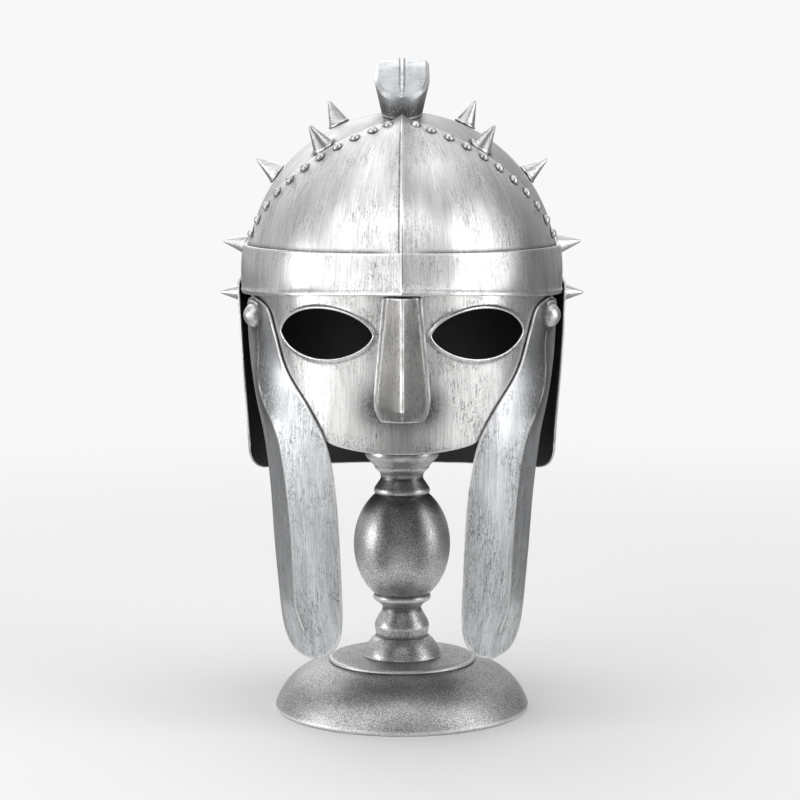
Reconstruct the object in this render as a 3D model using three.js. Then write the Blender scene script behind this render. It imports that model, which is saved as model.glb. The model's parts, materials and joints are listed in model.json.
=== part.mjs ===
// A gladiator-type masked helmet of sheet steel, standing on a turned display stand. Millimetres.
// +Z is up, the face looks along -Y and the wearer's left is +X. The origin is the centre of the
// stand's flat underside. Every plate of the helmet follows one oval, the head's, at its own lift
// off the skull's outer face, so the plates nest without touching.
import * as THREE from "three";

// ---------------------------------------------------------------- driving dimensions
const SHEET = 1.5; // thickness of every steel plate
const SKULL = { halfWidth: 109, halfLength: 130, rise: 111, equator: 314, rim: -2 };
const JAW = { taper: 0.16, depth: 245, power: 1.3 }; // how the oval narrows below the equator
const FIRST_LAYER = 2.2; // lift of the outer face of plates that lie on the skull or the mask
const SECOND_LAYER = 4.2; // lift of the outer face of plates that lie on the first layer
const KEEL = { lift: 5, halfAngle: 15 }; // the ridge down the middle of the brow
const BROW = { halfAngle: 81, top: 132, archAngle: 84, archPower: 0.8 };
const BAND = { halfAngle: 83.3, top: 18, frontBottom: -7, sideBottom: -14, flare: 5 };
const MASK = { top: 311, bottom: 200, tabAngle: 74 };
const EYE = { azimuth: 29.5, z: 279, halfAngle: 19.5, halfHeight: 17.5, lip: 1.4, lipWidth: 3 };
const NOSE = { top: 304, tip: 231, bottom: 222, flange: 3 };
const CHEEK = { keel: 9, keelStart: 272, keelFull: 228, keelEnd: 60, keelFade: 34 };
const NECK = {
  startAngle: 84, top: 8, sideBottom: 171, backBottom: 156, corner: 20, endCorner: 9,
  step: 4.8, stepHeight: 9, kick: 26, kickHeight: 150,
};
const COMB = { front: 71, back: 156, height: 40, halfWidth: 19, seam: 1.2, baseShare: 0.74 };
const BOSS = { azimuth: 65.5, z: 284, radius: 8.5, washer: 10.5 };
const STUD = { flange: 7.8, radius: 6.9, height: 18.5, tip: 1.2 };
const RIVET = { radius: 3.1, height: 2.4, inset: 8, perSide: 11 };
const FOOT = { radius: 91, height: 37.5, disc: 52.3, shoulder: 34 };
const COLUMN = { top: 186, collar: 26.3 };
const HEAD_REST = { post: 11, cap: 45, under: 396 };
const GAP = 0.3; // left between pieces that touch on the real object

const STEP_DEG = 7.5; // width of one facet round the helmet
const ROUND = 32; // facets round the turned pieces

// ---------------------------------------------------------------- finishes
const finish = (color, roughness, metalness) =>
  new THREE.MeshStandardMaterial({ color, roughness, metalness });
const antiqueSilver = finish(0xb9babb, 0.38, 1);
const agedSteel = finish(0x9c9d9e, 0.42, 1);
const standMetal = finish(0x77797a, 0.45, 0.9);

// ---------------------------------------------------------------- the head's oval
const radians = THREE.MathUtils.degToRad;
const lerp = THREE.MathUtils.lerp;
const smooth = (x, from, to) => THREE.MathUtils.smoothstep(x, Math.min(from, to), Math.max(from, to));

function jawScale(z) {
  const below = Math.max(0, SKULL.equator - z) / JAW.depth;
  return 1 - JAW.taper * below ** JAW.power;
}

// A point at an azimuth (degrees from the face, towards +X), at a height measured along the wall
// from the equator (up over the crown, or straight down the face), and at a lift off the skull.
function onHead(azimuth, height, lift) {
  const over = Math.max(0, height) / SKULL.rise;
  const z = height > 0
    ? SKULL.equator + (SKULL.rise + lift) * Math.sin(over)
    : SKULL.equator + height;
  const jaw = height < 0 ? jawScale(z) : 1;
  const a = radians(azimuth);
  return new THREE.Vector3(
    (SKULL.halfWidth * jaw + lift) * Math.cos(over) * Math.sin(a),
    -(SKULL.halfLength * jaw + lift) * Math.cos(over) * Math.cos(a),
    z,
  );
}

// A wall is a function from azimuth and height to a point. Its outward normal, from two short steps.
function normalOf(wall, azimuth, height) {
  const here = wall(azimuth, height);
  const across = wall(azimuth + 0.5, height).sub(here);
  const up = wall(azimuth, height + 0.5).sub(here);
  return across.cross(up).normalize();
}
const skullWall = (azimuth, height) => onHead(azimuth, height, 0);
const firstLayerWall = (azimuth, height) => onHead(azimuth, height, FIRST_LAYER);
const browWall = (azimuth, height) => onHead(azimuth, height, FIRST_LAYER + keelLift(azimuth));

const keelLift = (azimuth) =>
  KEEL.lift * Math.max(0, 1 - Math.abs(azimuth) / KEEL.halfAngle) ** 2;

// ---------------------------------------------------------------- ways of making a piece
// A sheet-metal plate. Each grid gives place(s, t, depth), a point of the plate's outer face at
// depth 0 and of its inner face at depth SHEET. The two faces are joined by a wall along every free
// edge, and corners that fall on one another are one corner, so a grid may close on itself.
function plate(grids) {
  const outer = [];
  const inner = [];
  const known = new Map();
  const faces = [];
  for (const { place, columns, rows } of grids) {
    const ids = [];
    for (let i = 0; i <= columns; i++) {
      for (let j = 0; j <= rows; j++) {
        const point = place(i / columns, j / rows, 0);
        const key = point.toArray().map((v) => Math.round(v * 500)).join();
        if (!known.has(key)) {
          known.set(key, outer.length);
          outer.push(point);
          inner.push(place(i / columns, j / rows, SHEET));
        }
        ids.push(known.get(key));
      }
    }
    for (let i = 0; i < columns; i++) {
      for (let j = 0; j < rows; j++) {
        const a = ids[i * (rows + 1) + j];
        const b = ids[(i + 1) * (rows + 1) + j];
        const c = ids[(i + 1) * (rows + 1) + j + 1];
        const d = ids[i * (rows + 1) + j + 1];
        faces.push(...[[a, b, c], [a, c, d]].filter((f) => new Set(f).size === 3));
      }
    }
  }
  return closedSheet(outer, inner, faces);
}

function closedSheet(outer, inner, faces) {
  const free = new Map();
  for (const face of faces) {
    face.forEach((from, k) => {
      const to = face[(k + 1) % 3];
      if (!free.delete(`${to},${from}`)) free.set(`${from},${to}`, [from, to]);
    });
  }
  const n = outer.length;
  const all = [...faces];
  faces.forEach(([a, b, c]) => all.push([a + n, c + n, b + n]));
  free.forEach(([from, to]) => all.push([to, from, from + n], [to, from + n, to + n]));
  const geometry = new THREE.BufferGeometry().setFromPoints([...outer, ...inner]);
  const outwards = signedVolume(geometry, all) > 0;
  geometry.setIndex((outwards ? all : all.map((f) => f.toReversed())).flat());
  geometry.computeVertexNormals();
  return geometry;
}

function signedVolume(geometry, faces) {
  const at = (i) => new THREE.Vector3().fromBufferAttribute(geometry.attributes.position, i);
  return faces.reduce((sum, [a, b, c]) => sum + at(a).dot(at(b).cross(at(c))), 0);
}

// A turned piece: its profile as [radius, z] pairs from the foot up, spun round Z.
function turned(profile, segments = ROUND) {
  const points = profile.map(([radius, z]) => new THREE.Vector2(radius, z));
  return new THREE.LatheGeometry(points, segments).rotateX(Math.PI / 2);
}

// Points of a profile's round stretch: a quarter or other part of an ellipse about [r, z].
function arc([r, z], [rx, rz], fromDeg, toDeg, steps) {
  return Array.from({ length: steps + 1 }, (_, i) => {
    const angle = radians(lerp(fromDeg, toDeg, i / steps));
    return [r + rx * Math.cos(angle), z + rz * Math.sin(angle)];
  });
}

// Points of a profile's bend from one [r, z] to another, pulled towards a third.
function bend(from, towards, to, steps) {
  const ends = [from, towards, to].map((point) => new THREE.Vector2(...point));
  return new THREE.QuadraticBezierCurve(...ends).getPoints(steps).map(({ x, y }) => [x, y]);
}

const helmet = new THREE.Group();
const stand = new THREE.Group();

function add(group, name, geometry, material) {
  const mesh = new THREE.Mesh(geometry, material);
  mesh.name = name;
  group.add(mesh);
  return mesh;
}

// Stands a turned piece on a wall of the helmet, a small gap off it, along the wall's normal.
function fasten(name, geometry, wall, azimuth, height, gap) {
  const mesh = add(helmet, name, geometry, antiqueSilver);
  const normal = normalOf(wall, azimuth, height);
  mesh.position.copy(wall(azimuth, height)).addScaledVector(normal, gap);
  mesh.quaternion.setFromUnitVectors(new THREE.Vector3(0, 0, 1), normal);
}

const sideOf = (sign) => (sign > 0 ? "left" : "right"); // the wearer's left is +X

// ---------------------------------------------------------------- skull
// One raised bowl, open below.
const crown = (SKULL.rise * Math.PI) / 2;
add(helmet, "skull", plate([{
  place: (s, t, depth) => onHead(s * 360, lerp(SKULL.rim, crown, t), -depth),
  columns: 360 / STEP_DEG,
  rows: 11,
}]), agedSteel);

// ---------------------------------------------------------------- brow plate and band
// The brow plate's upper edge is a round arch over the forehead.
const archHeight = (azimuth) =>
  BROW.top * Math.cos(radians((azimuth * 90) / BROW.archAngle)) ** BROW.archPower;

// The band's lower edge rises a little towards the middle of the face.
const bandBottom = (azimuth) =>
  lerp(BAND.sideBottom, BAND.frontBottom, Math.cos(radians(azimuth)) ** 2);

const HIDDEN_EDGE = 1.5; // how far the brow plate stops above the band's lower edge
add(helmet, "brow_plate", plate([{
  place: (s, t, depth) => {
    const azimuth = lerp(-BROW.halfAngle, BROW.halfAngle, s);
    const height = lerp(bandBottom(azimuth) + HIDDEN_EDGE, archHeight(azimuth), t);
    return onHead(azimuth, height, FIRST_LAYER - depth + keelLift(azimuth));
  },
  columns: 28,
  rows: 9,
}]), antiqueSilver);

add(helmet, "brow_band", plate([{
  place: (s, t, depth) => {
    const azimuth = lerp(-BAND.halfAngle, BAND.halfAngle, s);
    const height = lerp(bandBottom(azimuth), BAND.top, t);
    const flare = BAND.flare * (1 - t) ** 3 * Math.cos(radians(azimuth)) ** 2;
    return onHead(azimuth, height, SECOND_LAYER - depth + keelLift(azimuth) + flare);
  },
  columns: 28,
  rows: 4,
}]), antiqueSilver);

// ---------------------------------------------------------------- face mask
// Half of the mask's outline, in degrees of azimuth and millimetres of height, from the chin's
// middle out to the cheek, up to the temple tab and back along the top to the middle.
function halfMaskOutline() {
  const outline = new THREE.Path();
  outline.moveTo(0, MASK.bottom);
  outline.quadraticCurveTo(14, MASK.bottom, 25, MASK.bottom + 4);
  outline.quadraticCurveTo(31, MASK.bottom + 6, 32, MASK.bottom + 15);
  outline.bezierCurveTo(36, 238, 60, 248, MASK.tabAngle, 276);
  outline.lineTo(MASK.tabAngle, MASK.top);
  outline.lineTo(0, MASK.top);
  outline.lineTo(0, MASK.bottom);
  const steps = [4, 3, 8, 3, 11, 9];
  return outline.curves.flatMap((curve, k) => curve.getPoints(steps[k]).slice(0, -1));
}

// The eye opening: a long oval, drawn in to a soft point at each corner.
const EYE_POINT = 1.25;
function eyeEdge(angle) {
  const sine = Math.sin(angle);
  return new THREE.Vector2(
    EYE.azimuth + EYE.halfAngle * Math.cos(angle),
    EYE.z + EYE.halfHeight * Math.sign(sine) * Math.abs(sine) ** EYE_POINT,
  );
}

// A half mask is a ring of cells between the eye's edge and the outline, with a raised lip.
const MM_PER_DEGREE = 2;
function halfMask(sign) {
  const outline = halfMaskOutline();
  const rings = [0, 0.12, 0.3, 0.6, 1];
  return {
    columns: outline.length,
    rows: rings.length - 1,
    place: (s, t, depth) => {
      const along = sign > 0 ? s : 1 - s; // both halves' cells wind the same way
      const far = outline[Math.round(along * outline.length) % outline.length];
      const towards = Math.atan2(
        (far.y - EYE.z) / EYE.halfHeight,
        (far.x - EYE.azimuth) / EYE.halfAngle,
      );
      const near = eyeEdge(towards);
      const point = near.clone().lerp(far, rings[Math.round(t * (rings.length - 1))]);
      const width = Math.hypot((point.x - near.x) * MM_PER_DEGREE, point.y - near.y);
      const lip = EYE.lip * Math.max(0, 1 - width / EYE.lipWidth);
      return onHead(sign * point.x, point.y - SKULL.equator, lip - depth);
    },
  };
}
add(helmet, "face_mask", plate([halfMask(1), halfMask(-1)]), antiqueSilver);

// ---------------------------------------------------------------- nose guard
// A folded bar on two narrow flanges. Its ridge stands furthest from the mask just above its end.
function noseHalfWidth(z) {
  const down = (NOSE.top - z) / (NOSE.top - NOSE.bottom);
  return lerp(9, 17, down) * Math.sqrt(1 - Math.max(0, (down - 0.8) / 0.2) ** 2 * 0.6);
}
function noseRidge(z) {
  return z > NOSE.tip
    ? lerp(24, 10, (z - NOSE.tip) / (NOSE.top - NOSE.tip))
    : lerp(3, 24, (z - NOSE.bottom) / (NOSE.tip - NOSE.bottom));
}
add(helmet, "nose_guard", plate([{
  place: (s, t, depth) => {
    const heights = [NOSE.top, 292, 276, 260, 244, NOSE.tip, NOSE.tip - 5, NOSE.bottom];
    const z = heights[Math.round(t * (heights.length - 1))];
    const column = Math.round(s * 6) - 3;
    const share = Math.min(1, Math.abs(column) / 2);
    const flange = Math.abs(column) > 2 ? NOSE.flange : 0;
    const x = Math.sign(column) * (noseHalfWidth(z) * share + flange);
    const azimuth = THREE.MathUtils.radToDeg(Math.asin(x / SKULL.halfWidth));
    return onHead(azimuth, z - SKULL.equator, FIRST_LAYER - depth + noseRidge(z) * (1 - share));
  },
  columns: 6,
  rows: 7,
}]), agedSteel);

// ---------------------------------------------------------------- cheek guards
// Each edge runs from the temple to the lower tip, as [azimuth, z].
const spline = (points) => new THREE.SplineCurve(points.map((p) => new THREE.Vector2(...p)));
const cheekFront = spline([
  [67, 299], [57, 293], [52.5, 276], [47, 252], [36, 226],
  [29, 202], [26, 165], [25.5, 115], [26.5, 75], [33, 58], [44, 53],
]);
const cheekRear = spline([
  [67, 299], [76, 293], [77, 274], [76, 252], [71, 228],
  [65, 205], [62.5, 168], [62.5, 118], [61.5, 76], [55, 58.5], [44, 53],
]);
function cheekGuard(sign) {
  return plate([{
    place: (s, t, depth) => {
      const front = cheekFront.getPoint(t);
      const point = front.lerp(cheekRear.getPoint(t), s);
      const fade = 1 - smooth(point.y, CHEEK.keelFull, CHEEK.keelStart);
      const end = smooth(point.y, CHEEK.keelEnd, CHEEK.keelEnd + CHEEK.keelFade);
      const keel = CHEEK.keel * (1 - Math.abs(2 * s - 1)) * fade * end;
      return onHead(sign * point.x, point.y - SKULL.equator, FIRST_LAYER - depth + keel);
    },
    columns: 6,
    rows: 27,
  }]);
}
for (const sign of [1, -1]) {
  add(helmet, `cheek_guard_${sideOf(sign)}`, cheekGuard(sign), antiqueSilver);
}

// ---------------------------------------------------------------- neck guard
// A skirt round the back. It steps out below the skull's rim and kicks out towards the back. Its
// lower edge rises to the front, so that seen from the front the skirt ends in a quarter circle on
// each side, and the corner at each end of the sheet is a smaller quarter circle. quarterCircle is
// how far such a corner has risen at a distance from its end.
const quarterCircle = (radius, distance) =>
  radius - Math.sqrt(radius ** 2 - Math.max(0, radius - distance) ** 2);

function neckBottom(azimuth) {
  const back = Math.max(0, -Math.cos(radians(azimuth)));
  const reach = SKULL.halfWidth + FIRST_LAYER + NECK.step;
  const fromSide = back > 0 ? reach * (1 - Math.abs(Math.sin(radians(azimuth)))) : 0;
  const fromEnd = radians(Math.min(azimuth, 360 - azimuth) - NECK.startAngle) * SKULL.halfLength;
  return lerp(NECK.sideBottom, NECK.backBottom, back)
    + quarterCircle(NECK.corner, fromSide) + quarterCircle(NECK.endCorner, fromEnd);
}
function neckLift(azimuth, height) {
  const below = Math.max(0, -height);
  const step = NECK.step * Math.min(1, below / NECK.stepHeight);
  const back = Math.max(0, -Math.cos(radians(azimuth)));
  return FIRST_LAYER + step + NECK.kick * Math.min(1, below / NECK.kickHeight) ** 1.6 * back;
}
const neckWall = (azimuth, height, depth = 0) =>
  onHead(azimuth, height, neckLift(azimuth, height) - depth);
const NECK_ANGLES = [0, 0.5, 1.2, 2.4, 4, 7, 11, 15, 20];
const NECK_SPAN = 360 - 2 * NECK.startAngle;
const neckAngles = [
  ...NECK_ANGLES,
  ...Array.from({ length: 21 }, (_, i) => lerp(26, NECK_SPAN - 26, i / 20)),
  ...NECK_ANGLES.map((angle) => NECK_SPAN - angle).reverse(),
];
add(helmet, "neck_guard", plate([{
  place: (s, t, depth) => {
    const azimuth = NECK.startAngle + neckAngles[Math.round(s * (neckAngles.length - 1))];
    const height = lerp(NECK.top, neckBottom(azimuth) - SKULL.equator, t ** 1.3);
    return neckWall(azimuth, height, depth);
  },
  columns: neckAngles.length - 1,
  rows: 8,
}]), agedSteel);

// ---------------------------------------------------------------- comb
// A folded box that rides over the crown, wider at its top, with a seam down the middle. It is
// round in front and narrows to the back, and it is open where it sits on the skull.
const combHeight = (u) => COMB.height * Math.sqrt(Math.sin(Math.PI * lerp(0.045, 0.94, u)));
function combHalfWidth(u, depth) {
  const nose = 0.1; // share of the length that the round front takes
  const front = Math.sqrt(Math.max(0, 1 - Math.max(0, 1 - u / nose) ** 2));
  const tail = Math.sqrt(Math.max(0, 1 - Math.max(0, (u - 0.95) / 0.05) ** 2));
  return Math.max(0, (COMB.halfWidth * lerp(1, 0.42, smooth(u, 0.4, 1)) - depth) * front * tail);
}
const FOOT_LIFT = GAP + 0.5; // the comb's feet clear the skull between its own stations too
const COMB_STATIONS = [0, 0.012, 0.035, 0.07, 0.11, 0.2, 0.3, 0.4, 0.5, 0.6, 0.7, 0.8, 0.88, 0.95, 0.98, 1];
add(helmet, "comb", plate([{
  place: (s, t, depth) => {
    const u = COMB_STATIONS[Math.round(s * (COMB_STATIONS.length - 1))];
    const end = depth / 180; // the inner face starts one thickness behind the outer one
    const along = radians(lerp(COMB.front, COMB.back, lerp(end, 1 - end, u)));
    const out = Math.round(t * 6) - 3; // from the foot on one side, over the seam, to the other
    const half = combHalfWidth(u, depth);
    const height = combHeight(u) - depth;
    const [x, up] = [
      [0, height + COMB.seam],
      [half * 0.86, height],
      [half, height - 3],
      [half * COMB.baseShare, 0],
    ][Math.abs(out)];
    const y = -(SKULL.halfLength + FOOT_LIFT) * Math.cos(along);
    const z = SKULL.equator + (SKULL.rise + FOOT_LIFT) * Math.sin(along);
    const normal = new THREE.Vector2(-Math.cos(along) / SKULL.halfLength, Math.sin(along) / SKULL.rise)
      .normalize();
    return new THREE.Vector3(Math.sign(out) * x, y + up * normal.x, z + up * normal.y);
  },
  columns: COMB_STATIONS.length - 1,
  rows: 6,
}]), antiqueSilver);

// ---------------------------------------------------------------- fasteners and studs
const bossProfile = [
  [0, 0],
  [BOSS.washer, 0],
  [BOSS.washer, 1.5],
  ...arc([0, 2.5], [BOSS.radius, BOSS.radius], 0, 90, 5),
];
for (const sign of [1, -1]) {
  fasten(`temple_boss_${sideOf(sign)}`, turned(bossProfile, 20), firstLayerWall,
    sign * BOSS.azimuth, BOSS.z - SKULL.equator, GAP);
}

// Round cone studs with blunted tips, as [azimuth, degrees above the equator] over each side of the
// crown, and as azimuths round the top of the neck guard.
const studProfile = [
  [0, 0],
  [STUD.flange, 0],
  [STUD.flange, 1.2],
  [STUD.radius, 1.8],
  ...arc([0, STUD.height - STUD.tip], [STUD.tip, STUD.tip], 20, 90, 2),
];
const crownStuds = [[52, 51.5], [92, 9], [92, 37], [98, 66], [126, 9], [128, 34], [142, 52], [158, 18]];
const neckStuds = [104, 146];
const NECK_STUD_HEIGHT = -18;
const studs = [
  ...crownStuds.map(([azimuth, over]) => [skullWall, azimuth, radians(over) * SKULL.rise]),
  ...neckStuds.map((azimuth) => [neckWall, azimuth, NECK_STUD_HEIGHT]),
];
studs.forEach(([wall, azimuth, height], i) => {
  for (const sign of [1, -1]) {
    fasten(`stud_${sideOf(sign)}_${i + 1}`, turned(studProfile, 12), wall, sign * azimuth, height, GAP);
  }
});

// Round-headed rivets, evenly spaced just inside the brow plate's arch.
const rivetProfile = [[0, 0], [RIVET.radius, 0], ...arc([0, 0.4], [RIVET.radius, RIVET.height], 0, 90, 2)];
const rivetLine = new THREE.CatmullRomCurve3(
  Array.from({ length: 30 }, (_, i) => {
    const azimuth = lerp(3, 76, i / 29);
    return new THREE.Vector3(azimuth, archHeight(azimuth) - RIVET.inset, 0);
  }),
);
function rivetPlaces() {
  const fine = rivetLine.getPoints(400);
  const spots = fine.map((p) => onHead(p.x, p.y, 0));
  const travelled = [0];
  spots.slice(1).forEach((spot, i) => travelled.push(travelled[i] + spot.distanceTo(spots[i])));
  return Array.from({ length: RIVET.perSide }, (_, k) => {
    const wanted = (travelled.at(-1) * (k + 0.35)) / RIVET.perSide;
    return fine[travelled.findIndex((length) => length >= wanted)];
  });
}
rivetPlaces().forEach(({ x: azimuth, y: height }, i) => {
  for (const sign of [1, -1]) {
    fasten(`rivet_${sideOf(sign)}_${i + 1}`, turned(rivetProfile, 8), browWall,
      sign * azimuth, height, GAP);
  }
});

// ---------------------------------------------------------------- stand
add(stand, "stand_foot", turned([
  [0, 0],
  [FOOT.radius - 1.5, 0],
  [FOOT.radius, 1.6],
  ...bend([FOOT.radius - 0.6, 4], [81.6, 28.5], [FOOT.disc + 0.4, FOOT.shoulder], 9),
  [FOOT.disc - 1.2, FOOT.shoulder + 0.1],
  [FOOT.disc, FOOT.shoulder + 1],
  [FOOT.disc - 0.4, FOOT.height - 0.7],
  [FOOT.disc - 4, FOOT.height],
  [0, FOOT.height],
]), standMetal);

const balusterFoot = FOOT.height + GAP;
add(stand, "stand_baluster", turned([
  [0, balusterFoot],
  [28.5, balusterFoot],
  ...arc([10, 30], [19, 25], 20, 64, 4),
  [19, 56],
  [19.6, 59.5],
  [18.7, 62.7],
  [16.4, 67],
  [14.2, 70.5],
  [13.6, 73],
  [16, 75.8],
  [20.4, 78.6],
  [20.6, 81.6],
  ...arc([0, 118.5], [34.4, 43.5], -56, 57, 10),
  [19.9, 156],
  [19.9, 158.6],
  [18.6, 160.4],
  [14.9, 166],
  [15.6, 170],
  [19.4, 173.4],
  [19.8, 175],
  [COLUMN.collar - 1.4, 180.4],
  [COLUMN.collar, 182.6],
  [COLUMN.collar, COLUMN.top],
  [0, COLUMN.top],
]), standMetal);

// The hidden head rest: a plain post under a low cap that fits inside the crown.
const restClearance = 0.6 + SHEET;
const capTop = (radius) =>
  SKULL.equator + (SKULL.rise - restClearance)
  * Math.sqrt(1 - (radius / (SKULL.halfWidth - restClearance)) ** 2);
add(stand, "stand_head_rest", turned([
  [0, COLUMN.top + GAP],
  [HEAD_REST.post, COLUMN.top + GAP],
  [HEAD_REST.post, HEAD_REST.under],
  [HEAD_REST.cap - 4, HEAD_REST.under + 4],
  [HEAD_REST.cap, HEAD_REST.under + 8],
  ...[1, 0.75, 0.5, 0.25, 0].map((share) => [HEAD_REST.cap * share, capTop(HEAD_REST.cap * share)]),
], 28), standMetal);

const part = new THREE.Group();
part.add(stand, helmet);
export default part;
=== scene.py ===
# %% [markdown]
# # A masked steel helmet on its turned stand
#
# This lesson dresses a helmet of sheet steel on a turned stand. The fixed frame already says where
# every part sits and how big it is. Here each plate is made again as a fine, smooth surface with a
# rounded edge, and each metal gets a finish of its own. The shape functions work in millimetres,
# as a sheet-metal worker does, and these become Blender's metres where a mesh is made.

# %% Load the fixed frame
import json
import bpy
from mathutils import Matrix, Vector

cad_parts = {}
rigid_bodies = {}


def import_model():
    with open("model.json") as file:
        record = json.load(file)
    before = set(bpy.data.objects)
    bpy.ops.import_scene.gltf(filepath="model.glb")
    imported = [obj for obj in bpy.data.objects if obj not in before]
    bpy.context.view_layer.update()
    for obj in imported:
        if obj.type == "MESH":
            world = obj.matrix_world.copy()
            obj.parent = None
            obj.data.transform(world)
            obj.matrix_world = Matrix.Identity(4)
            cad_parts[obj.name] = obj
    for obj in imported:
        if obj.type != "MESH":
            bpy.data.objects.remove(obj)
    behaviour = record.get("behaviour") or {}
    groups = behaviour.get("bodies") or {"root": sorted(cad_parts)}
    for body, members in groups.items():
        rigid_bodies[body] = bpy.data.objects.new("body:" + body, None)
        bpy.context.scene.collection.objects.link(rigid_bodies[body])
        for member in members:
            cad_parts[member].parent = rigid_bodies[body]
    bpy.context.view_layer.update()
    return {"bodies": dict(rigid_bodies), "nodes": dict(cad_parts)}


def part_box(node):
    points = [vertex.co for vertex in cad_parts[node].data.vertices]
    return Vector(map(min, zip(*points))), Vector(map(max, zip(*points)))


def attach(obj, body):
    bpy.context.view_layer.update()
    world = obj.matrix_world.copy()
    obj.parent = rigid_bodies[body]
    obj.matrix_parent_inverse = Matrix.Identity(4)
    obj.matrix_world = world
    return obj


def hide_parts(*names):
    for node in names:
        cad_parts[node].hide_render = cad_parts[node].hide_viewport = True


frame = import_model()
print("pieces in the frame:", len(frame["nodes"]))

# %% The other tools of the lesson
from types import SimpleNamespace as Sizes  # a handful of named numbers

import bpy
import numpy as np
from mathutils import Vector

MM = 0.001  # one millimetre in Blender's metres
BODY = next(iter(frame["bodies"]))  # nothing moves, so there is one body
scene = bpy.context.scene
print("everything rides on the body", BODY)

# %% [markdown]
# ## The camera and the pale studio
#
# A long lens, about two steps away and a little above, keeps the mask true to its proportions.
# Polished steel shows its surroundings, so the lights are large soft boxes: a small lamp would
# leave hard dots, and a big panel leaves a broad soft gleam.

# %% Camera
CAMERA_PLACE = (-0.0014, -1.75, 0.4287)
CAMERA_PITCH_DEG = 6.75  # how far it looks down
SENSOR_MM = 36.0
LENS_MM = 111.7

camera_data = bpy.data.cameras.new("camera")
camera_data.sensor_width = SENSOR_MM
camera_data.lens = LENS_MM
camera = bpy.data.objects.new("camera", camera_data)
camera.location = CAMERA_PLACE
camera.rotation_euler = (np.radians(90 - CAMERA_PITCH_DEG), 0, 0)
scene.collection.objects.link(camera)
scene.camera = camera


# %% Floor
def floor_disc(radius, steps=96):
    """A flat round floor: points at equal turns on one circle, joined as a single face."""
    turn = np.linspace(0, 2 * np.pi, steps, endpoint=False)
    rim = np.stack([radius * np.cos(turn), radius * np.sin(turn), 0 * turn], axis=-1)
    mesh = bpy.data.meshes.new("floor")
    mesh.from_pydata(rim.tolist(), [], [list(range(steps))])
    disc = bpy.data.objects.new("floor", mesh)
    scene.collection.objects.link(disc)
    return disc


floor = floor_disc(radius=9.0)


# %% Lights
def soft_box(name, place, aim, size, power):
    """A flat rectangular light of size (width, height) in metres that faces the point aim."""
    data = bpy.data.lights.new(name, "AREA")
    data.shape = "RECTANGLE"
    data.size, data.size_y = size
    data.energy = power
    lamp = bpy.data.objects.new(name, data)
    lamp.location = place
    lamp.rotation_euler = (Vector(aim) - Vector(place)).to_track_quat("-Z", "Y").to_euler()
    scene.collection.objects.link(lamp)


HELMET_MIDDLE, STAND_MIDDLE = (0, 0, 0.28), (0, 0, 0.15)
soft_box("soft_box_left", (-1.55, -1.45, 1.1), HELMET_MIDDLE, (1.7, 2.2), 16.5)
soft_box("soft_box_right", (1.82, -0.97, 1.0), HELMET_MIDDLE, (1.5, 2.0), 19)
soft_box("soft_box_top", (-0.15, -0.45, 2.2), HELMET_MIDDLE, (2.0, 2.3), 10.5)
soft_box("soft_box_back", (-0.6, 1.9, 1.5), HELMET_MIDDLE, (1.8, 1.2), 9)
soft_box("low_strip_left", (-1.7, -0.35, 0.3), STAND_MIDDLE, (0.4, 0.7), 6.5)
soft_box("low_strip_right", (1.7, -0.35, 0.3), STAND_MIDDLE, (0.3, 0.7), 1.3)
scene.view_settings.view_transform = "Standard"

# %% [markdown]
# ## The head's oval
#
# Every plate follows one oval. Below its widest line the wall drops straight and draws in a little
# towards the jaw. A point is named by its azimuth (degrees from the face, towards the wearer's
# left), its height along the wall and its lift off the skull. Plates that share one function nest
# inside each other, so nothing has to be fitted by eye.


# %% Sizes read off the frame
def box_mm(node):
    """The lowest and highest corner of one part of the frame, in millimetres."""
    return tuple(np.array(corner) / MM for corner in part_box(node))


SHEET = 1.5  # thickness of every steel plate
RIM_BELOW = 2.0  # the skull's rim lies this far below its widest line
skull_low, skull_high = box_mm("skull")
HALF_WIDTH, HALF_LENGTH = ((skull_high - skull_low) / 2)[:2]
EQUATOR = skull_low[2] + RIM_BELOW
RISE = skull_high[2] - EQUATOR
print(f"oval {2 * HALF_WIDTH:.0f} x {2 * HALF_LENGTH:.0f} mm, crown {RISE:.0f} mm above it")


# %% A point of the head
JAW = Sizes(taper=0.16, depth=245.0, power=1.3)
FIRST_LAYER, SECOND_LAYER = 2.2, 4.2  # lifts of the plates' outer faces off the skull
DENTS = ((0.16, 7, 21), (0.12, 11, -13))  # mm high, waves round the head, mm of slant


def smooth(x, low, high):
    """0 below low, 1 above high, and a smooth S between: t * t * (3 - 2 t)."""
    t = np.clip((x - low) / (high - low), 0, 1)
    return t * t * (3 - 2 * t)


def hand_work(azimuth, height):
    """The slow unevenness of hand-raised sheet, in mm: two sine waves that run round the head."""
    turn = np.radians(azimuth)
    waves = sum(high * np.sin(count * turn + height / slant) for high, count, slant in DENTS)
    return waves * np.cos(np.clip(height, 0, None) / RISE)


def jaw_scale(z):
    """How much narrower the oval is at height z: 1 at its widest line, less towards the jaw."""
    below = np.maximum(0, EQUATOR - z) / JAW.depth
    return 1 - JAW.taper * below ** JAW.power


def on_head(azimuth, height, lift):
    """A point of the wall: an ellipse at each height, which shrinks with the cosine over the crown
    and with the jaw below, pushed out by lift."""
    turn = np.radians(azimuth)
    over = np.maximum(height, 0) / RISE
    lift = lift + hand_work(azimuth, height)
    z = np.where(height > 0, EQUATOR + (RISE + lift) * np.sin(over), EQUATOR + height)
    jaw = np.where(height < 0, jaw_scale(z), 1)
    x = (HALF_WIDTH * jaw + lift) * np.cos(over) * np.sin(turn)
    y = -(HALF_LENGTH * jaw + lift) * np.cos(over) * np.cos(turn)
    return np.stack([x, y, z], axis=-1)


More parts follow.
